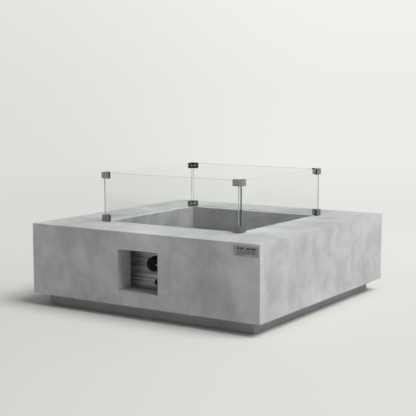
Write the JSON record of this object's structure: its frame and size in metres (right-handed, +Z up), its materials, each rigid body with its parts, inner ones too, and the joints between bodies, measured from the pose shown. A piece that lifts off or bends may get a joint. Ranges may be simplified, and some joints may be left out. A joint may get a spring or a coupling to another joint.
{
  "type": "fire pit with grate",
  "caption": "Low square cast-concrete gas fire pit with a glass wind guard on its rim, a lift-out steel grate in the basin and a niche with a gas knob and igniter.",
  "frame": {"origin": "centre of the footprint on the ground, where the rubber pads stand", "axes": "+Z up; the front face with the control niche looks along -Y; +X to the right seen from the front"},
  "size_m": [1, 1, 0.507],
  "materials": {
    "cast_concrete": "fair-faced cast concrete, cloudy light grey, matt",
    "plinth_concrete": "dark grey cast concrete, matt",
    "brushed_panel": "horizontally brushed stainless steel",
    "stainless": "satin stainless steel sheet and tube",
    "zinc_steel": "zinc-plated steel",
    "brass_fittings": "machined brass",
    "valve_alloy": "die-cast aluminium",
    "black_plastic": "black moulded heat-resistant plastic, satin",
    "pointer_white": "white inlay",
    "black_rubber": "black rubber",
    "silicone_lead": "silicone-sleeved lead",
    "white_ceramic": "glazed white ceramic",
    "grate_steel": "heat-proof black paint on steel",
    "guard_glass": "clear tempered glass with a faint green edge",
    "clip_metal": "satin dark grey die-cast clip",
    "label_metal": "brushed dark grey aluminium, blank"
  },
  "bodies": {
    "fire_table": {"concrete_body": "cast_concrete", "plinth": "plinth_concrete", "plinth_bolts": "zinc_steel", "foot_pads": "black_rubber", "control_panel": "brushed_panel", "panel_screws": "zinc_steel", "name_plate": "label_metal", "plate_rivets": "zinc_steel", "burner_tray": "stainless", "burner_ring": "stainless", "burner_locknut": "brass_fittings", "air_mixer": "brass_fittings", "burner_feed_pipe": "brass_fittings", "valve_body": "valve_alloy", "valve_end_cap": "valve_alloy", "valve_nut": "zinc_steel", "valve_spring": "stainless", "knob_bezel": "black_plastic", "igniter_housing": "black_plastic", "igniter_nut": "zinc_steel", "igniter_spring": "stainless", "igniter_terminal": "brass_fittings", "electrode_bracket": "stainless", "bracket_screws": "zinc_steel", "electrode_insulator": "white_ceramic", "electrode_rod": "stainless", "thermocouple": "brass_fittings", "ignition_lead": "silicone_lead", "thermocouple_lead": "brass_fittings", "gas_supply_pipe": "brass_fittings", "inlet_plate": "zinc_steel", "inlet_screws": "zinc_steel", "inlet_fitting": "brass_fittings", "inlet_nut": "brass_fittings"},
    "guard": {"glass_front": "guard_glass", "glass_right": "guard_glass", "glass_back": "guard_glass", "glass_left": "guard_glass", "top_clips": "clip_metal", "bottom_clips": "clip_metal", "clip_gaskets": "black_rubber", "clip_screws": "zinc_steel", "guard_pads": "black_rubber"},
    "grate": {"grate_frame": "grate_steel", "grate_bars": "grate_steel", "grate_stays": "grate_steel", "grate_legs": "grate_steel", "grate_foot_cups": "stainless"},
    "valve_plunger": {"valve_spool": "brass_fittings"},
    "knob": {"valve_stem": "zinc_steel", "control_knob": "black_plastic", "knob_pointer": "pointer_white"},
    "igniter_button": {"igniter_button": "black_plastic"}
  },
  "joints": [
    {"name": "guard_lift", "type": "slide", "parent": "fire_table", "child": "guard", "axis": [0, 0, 1], "range_m": [0, 0.2]},
    {"name": "grate_lift", "type": "slide", "parent": "fire_table", "child": "grate", "axis": [0, 0, 1], "range_m": [0, 0.36]},
    {"name": "knob_press", "type": "slide", "parent": "fire_table", "child": "valve_plunger", "axis": [0, 1, 0], "range_m": [0, 0.004], "stiffness_N_per_m": 1200, "springref_m": -0.003, "deforming": ["valve_spring"]},
    {"name": "knob_turn", "type": "hinge", "parent": "valve_plunger", "child": "knob", "pos_m": [0.028, -0.423, 0.199], "axis": [0, -1, 0], "range_deg": [0, 180]},
    {"name": "igniter_press", "type": "slide", "parent": "fire_table", "child": "igniter_button", "axis": [0, 1, 0], "range_m": [0, 0.003], "stiffness_N_per_m": 800, "springref_m": -0.003, "deforming": ["igniter_spring"]}
  ]
}
